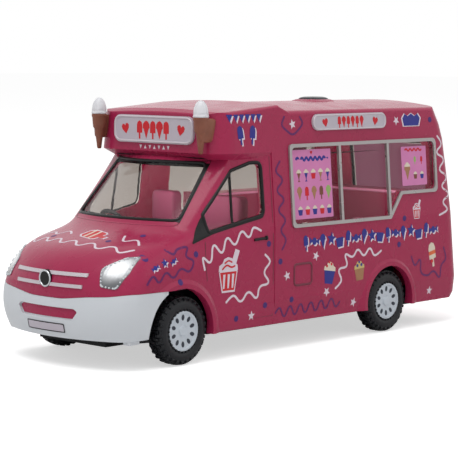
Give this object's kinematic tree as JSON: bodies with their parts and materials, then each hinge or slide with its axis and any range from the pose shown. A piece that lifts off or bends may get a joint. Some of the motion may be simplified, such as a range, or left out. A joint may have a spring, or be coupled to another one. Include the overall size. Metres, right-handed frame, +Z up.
{
  "type": "die-cast model ice cream van",
  "caption": "Small die-cast model of a coach-built ice cream van with serving windows, roof signs, two wafer cones and turning wheels.",
  "frame": {"origin": "on the ground under the middle of the model's outer box", "axes": "+X forward, +Y to the van's left, +Z up"},
  "size_m": [0.074, 0.0264, 0.0347],
  "materials": {
    "body_paint": "gloss pink enamel",
    "white_plastic": "gloss white",
    "silver_trim": "silver paint",
    "black_trim": "gloss black",
    "headlight": "clear jewelled lens",
    "clear_glazing": "clear plastic glazing",
    "sign_white": "white print",
    "wafer": "satin brown",
    "ice_cream": "satin white",
    "dark_tint": "dark tint",
    "black_plastic": "satin black",
    "interior_pink": "satin pink",
    "machine_steel": "silver paint",
    "red_lens": "clear red",
    "screw_steel": "bare steel",
    "hub_white": "white plastic",
    "tyre_black": "black moulded tyre"
  },
  "bodies": {
    "van": {"base_plate": "black_plastic", "base_screws": "screw_steel", "body_shell": "body_paint", "cab_floor": "interior_pink", "cab_seats": "interior_pink", "dashboard": "interior_pink", "door_glass_left": "clear_glazing", "door_glass_right": "clear_glazing", "front_bumper": "white_plastic", "front_sign": "sign_white", "grille_bars": "silver_trim", "headlight_left": "headlight", "headlight_right": "headlight", "ice_cream_left": "ice_cream", "ice_cream_machine": "machine_steel", "ice_cream_right": "ice_cream", "nose_badge": "black_trim", "rear_number_plate": "sign_white", "rear_step": "body_paint", "rear_window": "clear_glazing", "roof_hatch_kerb": "body_paint", "roof_hatch_lid": "dark_tint", "servery_counter": "interior_pink", "servery_floor": "interior_pink", "servery_frame_left": "silver_trim", "servery_frame_right": "silver_trim", "servery_glass_left": "clear_glazing", "servery_glass_right": "clear_glazing", "side_sign_left": "sign_white", "side_sign_right": "sign_white", "steering_wheel": "black_plastic", "tail_lamps": "red_lens", "wafer_cone_left": "wafer", "wafer_cone_right": "wafer", "windscreen": "clear_glazing"},
    "front_wheelset": {"front_axle": "screw_steel", "front_hub_left": "hub_white", "front_hub_right": "hub_white", "front_tyre_left": "tyre_black", "front_tyre_right": "tyre_black"},
    "rear_wheelset": {"rear_axle": "screw_steel", "rear_hub_left": "hub_white", "rear_hub_right": "hub_white", "rear_tyre_left": "tyre_black", "rear_tyre_right": "tyre_black"}
  },
  "joints": [
    {"name": "front_axle_spin", "type": "hinge", "parent": "van", "child": "front_wheelset", "pos_m": [0.02365, 0, 0.0046], "axis": [0, 1, 0], "continuous": true},
    {"name": "rear_axle_spin", "type": "hinge", "parent": "van", "child": "rear_wheelset", "pos_m": [-0.01905, 0, 0.0046], "axis": [0, 1, 0], "continuous": true}
  ]
}
